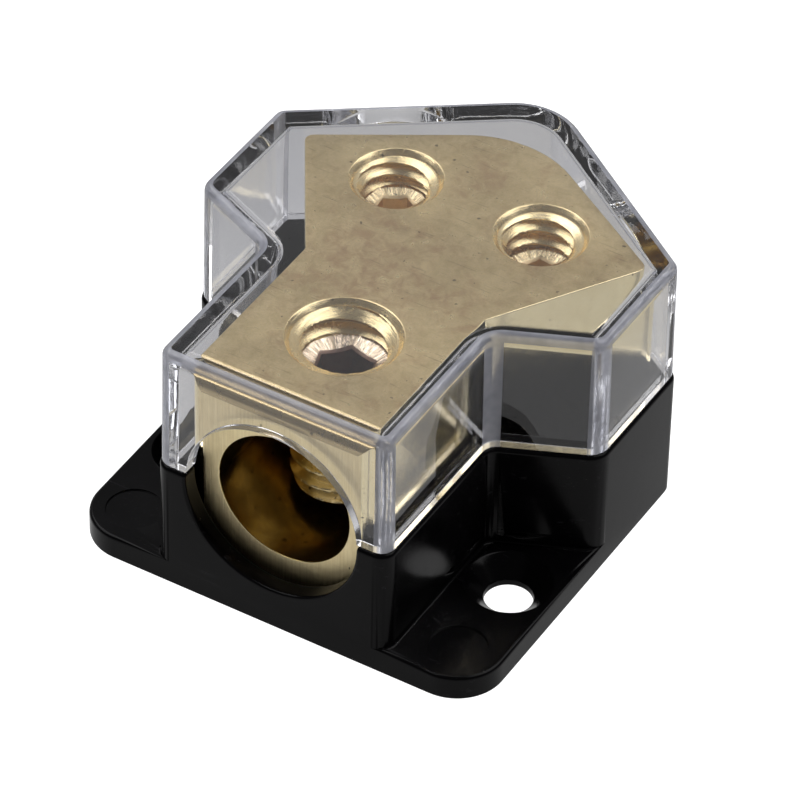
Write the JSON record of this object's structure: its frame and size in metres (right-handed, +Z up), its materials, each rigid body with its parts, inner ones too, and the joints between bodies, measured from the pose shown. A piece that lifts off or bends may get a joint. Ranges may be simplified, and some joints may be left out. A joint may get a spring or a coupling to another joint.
{
  "type": "power distribution block",
  "caption": "Compact block that splits one thick cable into thinner ones: brass body with set-screw clamps in a black eared base under a clear lift-off cover.",
  "frame": {"origin": "centre of the bounding box, on the underside of the mounting plate", "axes": "+Z up out of the mounting surface and the way the cover lifts; -Y towards the thick cable; +Y towards the thin cables; +X to the right seen from the thick cable"},
  "size_m": [0.0352, 0.0404, 0.022],
  "materials": {
    "base": "glossy",
    "block": "machined satin",
    "set_screw": "machined",
    "fixing_screw": "satin",
    "cover": "clear gloss"
  },
  "bodies": {
    "base_body": {"base": "base", "terminal_block": "block", "fixing_screw": "fixing_screw"},
    "cover_body": {"cover": "cover"},
    "input_screw_body": {"input_set_screw": "set_screw"},
    "output_screw_left_body": {"output_set_screw_left": "set_screw"},
    "output_screw_right_body": {"output_set_screw_right": "set_screw"}
  },
  "joints": [
    {"name": "cover_lift", "type": "slide", "parent": "base_body", "child": "cover_body", "axis": [0, 0, 1], "range_m": [0, 0.025]},
    {"name": "input_screw_travel", "type": "slide", "parent": "base_body", "child": "input_screw_body", "axis": [0, 0, 1], "range_m": [0, 0.00141]},
    {"name": "output_screw_left_travel", "type": "slide", "parent": "base_body", "child": "output_screw_left_body", "axis": [0, 0, 1], "range_m": [-0.00127, 0.00254]},
    {"name": "output_screw_right_travel", "type": "slide", "parent": "base_body", "child": "output_screw_right_body", "axis": [0, 0, 1], "range_m": [-0.00127, 0.00254]}
  ]
}
